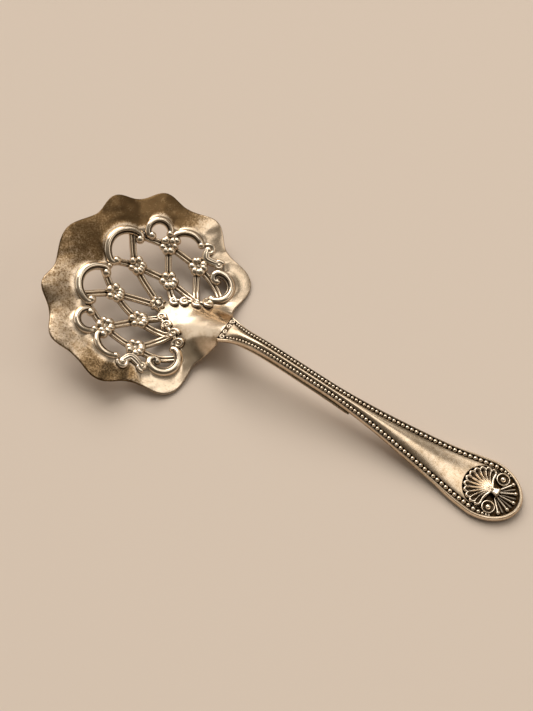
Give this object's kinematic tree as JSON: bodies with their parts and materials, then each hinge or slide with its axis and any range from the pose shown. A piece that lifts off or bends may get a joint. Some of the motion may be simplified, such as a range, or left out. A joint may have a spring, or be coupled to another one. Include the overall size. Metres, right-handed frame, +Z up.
{
  "type": "pierced bonbon spoon",
  "caption": "Small silver bonbon spoon with a fluted round bowl pierced by a knotted trellis in scroll borders, and a beaded arched handle that ends in a scallop shell.",
  "frame": {"origin": "on the table under the middle of the spoon's length, on its plane of symmetry", "axes": "+X along the spoon from the far rim of the bowl to the tip of the handle, +Z up from the table"},
  "size_m": [0.136, 0.0568, 0.0172],
  "materials": {
    "silver_satin": "silver plate on nickel silver, satin, warm tarnish on the broad faces",
    "silver_bright": "silver plate on nickel silver, rubbed bright on the relief, oxidised dark in the recesses"
  },
  "bodies": {
    "root": {"drop_rosette": "silver_bright", "cusp_bead": "silver_bright", "scroll_drop_left": "silver_bright", "scroll_drop_right": "silver_bright", "scroll_root_left": "silver_bright", "scroll_root_right": "silver_bright", "scroll_far_left": "silver_bright", "scroll_far_right": "silver_bright", "scroll_small_left": "silver_bright", "scroll_small_right": "silver_bright", "scroll_side_left": "silver_bright", "scroll_side_right": "silver_bright", "scroll_leaf_left": "silver_bright", "scroll_leaf_right": "silver_bright", "bar_inner_long_left": "silver_satin", "bar_inner_long_right": "silver_satin", "bar_outer_long_left": "silver_satin", "bar_outer_long_right": "silver_satin", "bar_far_cross_left": "silver_satin", "bar_far_cross_right": "silver_satin", "bar_mid_cross_left": "silver_satin", "bar_mid_cross_right": "silver_satin", "bar_side_cross_left": "silver_satin", "bar_side_cross_right": "silver_satin", "knot_1_left": "silver_bright", "knot_1_right": "silver_bright", "knot_2_left": "silver_bright", "knot_2_right": "silver_bright", "knot_3_left": "silver_bright", "knot_3_right": "silver_bright", "knot_4_left": "silver_bright", "knot_4_right": "silver_bright", "bead_border_left": "silver_bright", "bead_border_right": "silver_bright", "roundel_left": "silver_bright", "roundel_right": "silver_bright", "bowl": "silver_satin", "handle": "silver_satin", "shell": "silver_bright", "ray_spray": "silver_bright"}
  },
  "joints": []
}
